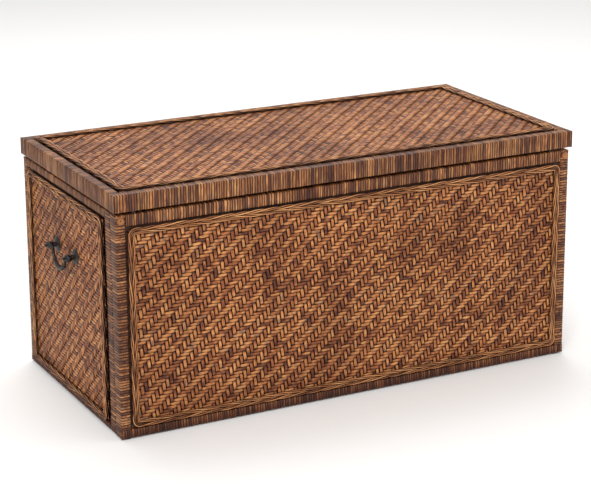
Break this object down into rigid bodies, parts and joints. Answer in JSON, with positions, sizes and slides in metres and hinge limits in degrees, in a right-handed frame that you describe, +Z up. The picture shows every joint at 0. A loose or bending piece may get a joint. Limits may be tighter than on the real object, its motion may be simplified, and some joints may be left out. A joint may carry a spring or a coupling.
{
  "type": "woven cane storage trunk",
  "caption": "Rectangular storage trunk of cane-wound timber frames with twill-woven cane panels and plaited trim, a flat hinged lid and a drop bail handle on each end.",
  "frame": {"origin": "on the floor, under the middle of the outer box", "axes": "+X along the trunk's length to its right end, +Y to the hinged back, +Z up"},
  "size_m": [0.9384, 0.446, 0.434],
  "materials": {
    "timber": "sawn, unfinished softwood",
    "plywood": "stained birch plywood",
    "binding_cane": "stained split cane, satin",
    "woven_cane": "stained round cane, satin",
    "braid_cane": "stained fine cane, satin",
    "dark_iron": "blackened, waxed",
    "steel_screws": "antiqued steel",
    "nylon": "moulded",
    "bumper_rubber": "matt"
  },
  "bodies": {
    "chest": {"front_left_stile": "timber", "front_right_stile": "timber", "front_top_rail": "timber", "front_bottom_rail": "timber", "back_left_stile": "timber", "back_right_stile": "timber", "back_top_rail": "timber", "back_bottom_rail": "timber", "left_front_stile": "timber", "left_back_stile": "timber", "left_top_rail": "timber", "left_bottom_rail": "timber", "right_front_stile": "timber", "right_back_stile": "timber", "right_top_rail": "timber", "right_bottom_rail": "timber", "front_binding": "binding_cane", "back_binding": "binding_cane", "left_binding": "binding_cane", "right_binding": "binding_cane", "front_weave": "woven_cane", "back_weave": "woven_cane", "left_weave": "woven_cane", "right_weave": "woven_cane", "front_braid": "braid_cane", "back_braid": "braid_cane", "left_braid": "braid_cane", "right_braid": "braid_cane", "front_board": "plywood", "back_board": "plywood", "left_board": "plywood", "right_board": "plywood", "floor_board": "plywood", "floor_battens": "timber", "frame_screws": "steel_screws", "glides": "nylon", "left_rosettes": "dark_iron", "right_rosettes": "dark_iron", "left_nuts": "dark_iron", "right_nuts": "dark_iron", "hinge_body_leaves": "dark_iron", "hinge_pins": "steel_screws", "hinge_body_screws": "steel_screws"},
    "lid": {"lid_front_rail": "timber", "lid_back_rail": "timber", "lid_left_rail": "timber", "lid_right_rail": "timber", "lid_binding": "binding_cane", "lid_board": "plywood", "lid_weave": "woven_cane", "lid_braid": "braid_cane", "lid_bumpers": "bumper_rubber", "hinge_lid_leaves": "dark_iron", "hinge_lid_screws": "steel_screws"},
    "left_bail": {"left_bail": "dark_iron"},
    "right_bail": {"right_bail": "dark_iron"}
  },
  "joints": [
    {"name": "lid_hinge", "type": "hinge", "parent": "chest", "child": "lid", "pos_m": [0, 0.219, 0.3965], "axis": [-1, 0, 0], "range_deg": [0, 95]},
    {"name": "left_bail_swing", "type": "hinge", "parent": "chest", "child": "left_bail", "pos_m": [-0.4585, 0.0145, 0.271], "axis": [0, 1, 0], "range_deg": [0, 95]},
    {"name": "right_bail_swing", "type": "hinge", "parent": "chest", "child": "right_bail", "pos_m": [0.4585, 0.0145, 0.271], "axis": [0, -1, 0], "range_deg": [0, 95]}
  ]
}
